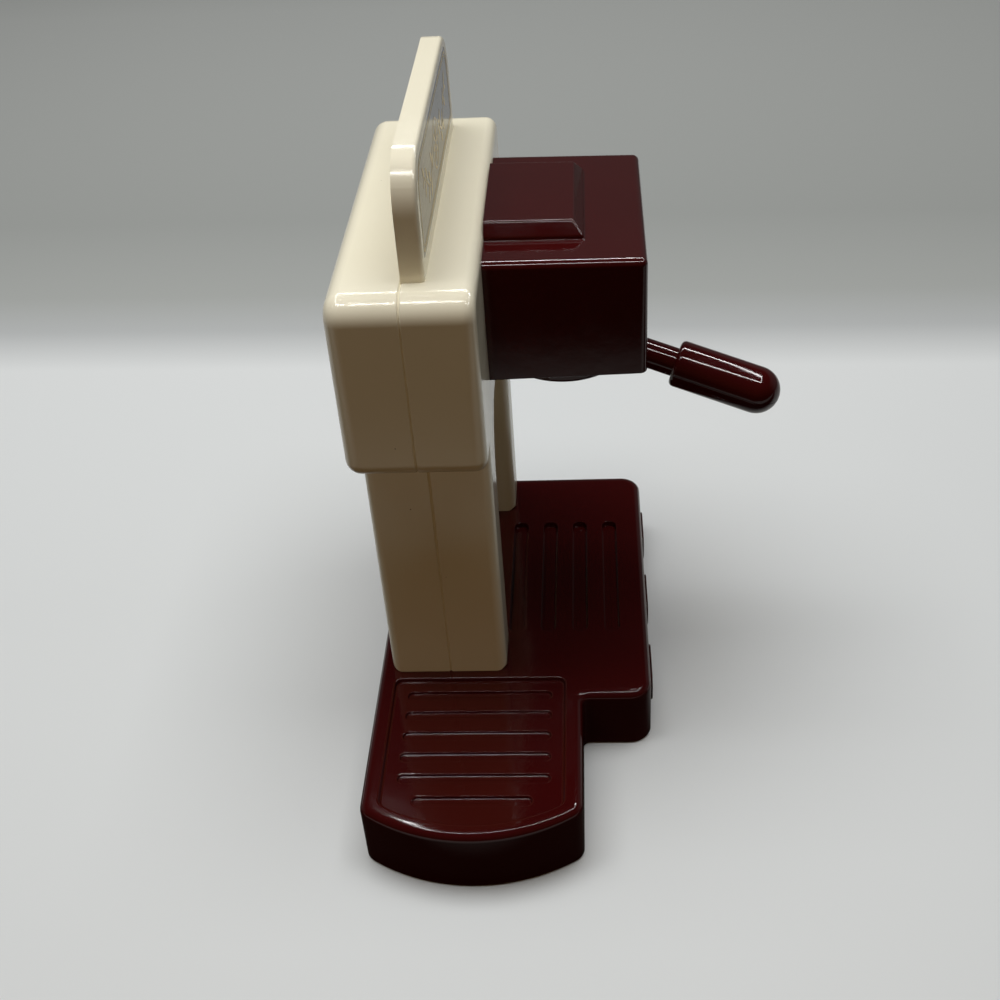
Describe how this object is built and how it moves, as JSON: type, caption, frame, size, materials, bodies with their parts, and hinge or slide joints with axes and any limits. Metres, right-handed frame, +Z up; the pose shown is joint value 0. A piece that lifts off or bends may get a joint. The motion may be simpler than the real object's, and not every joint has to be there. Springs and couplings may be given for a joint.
{
  "type": "toy coffee maker",
  "caption": "Toy espresso machine: ivory two-post body with a sign on a burgundy base with drip grille and side tray, and a brew group whose portafilter handle turns.",
  "frame": {"origin": "on the floor, midway between the two posts, in the parting plane of the two ivory shells", "axes": "+Z up, -Y to the front where the brew group and its handle are, +X to the right seen from the front; the side shelf is towards -X"},
  "size_m": [0.2324, 0.1648, 0.2552],
  "materials": {
    "ivory_plastic": "glossy moulded ABS",
    "burgundy_plastic": "glossy moulded ABS",
    "screw_steel": "zinc-plated",
    "label": "printed satin film"
  },
  "bodies": {
    "machine": {"base_shell": "burgundy_plastic", "base_plate": "burgundy_plastic", "base_screws": "screw_steel", "post_screws": "screw_steel", "front_shell": "ivory_plastic", "rear_shell": "ivory_plastic", "shell_screws": "screw_steel", "sign_label": "label", "group_cover": "burgundy_plastic", "group_plate": "burgundy_plastic", "group_screws": "screw_steel", "group_plate_screws": "screw_steel"},
    "portafilter": {"portafilter_body": "burgundy_plastic", "grip_upper": "burgundy_plastic", "grip_lower": "burgundy_plastic", "spring_washer": "screw_steel", "pivot_washer": "screw_steel", "pivot_screw": "screw_steel"}
  },
  "joints": [
    {"name": "portafilter_turn", "type": "hinge", "parent": "machine", "child": "portafilter", "pos_m": [0, -0.0525, 0.158], "axis": [0, 0, 1], "range_deg": [-30, 15]}
  ]
}
